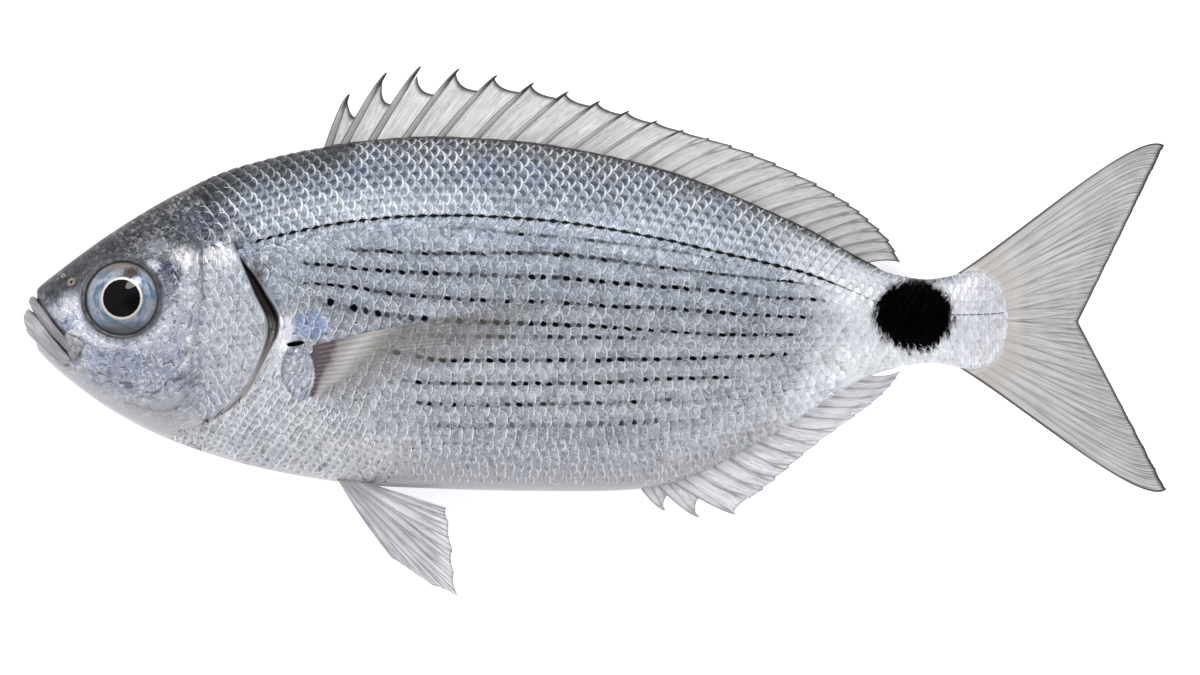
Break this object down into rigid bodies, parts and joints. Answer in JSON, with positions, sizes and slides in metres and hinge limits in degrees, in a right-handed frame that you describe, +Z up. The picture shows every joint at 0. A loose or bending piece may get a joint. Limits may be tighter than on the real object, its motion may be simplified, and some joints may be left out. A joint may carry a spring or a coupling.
{
  "type": "whole raw fish",
  "caption": "Whole raw sea bream lying on its flank, with spiny back fin, forked tail, gill covers and eyes.",
  "frame": {"origin": "middle of the bounding box, on the surface that the fish lies on", "axes": "+X along the fish from snout to tail, +Y from belly to back, +Z up, through the flanks"},
  "size_m": [0.26, 0.1204, 0.0294],
  "materials": {
    "skin": "wet silvery fish skin with small scales, satin gloss"
  },
  "bodies": {
    "root": {"fish": "skin"}
  },
  "joints": []
}
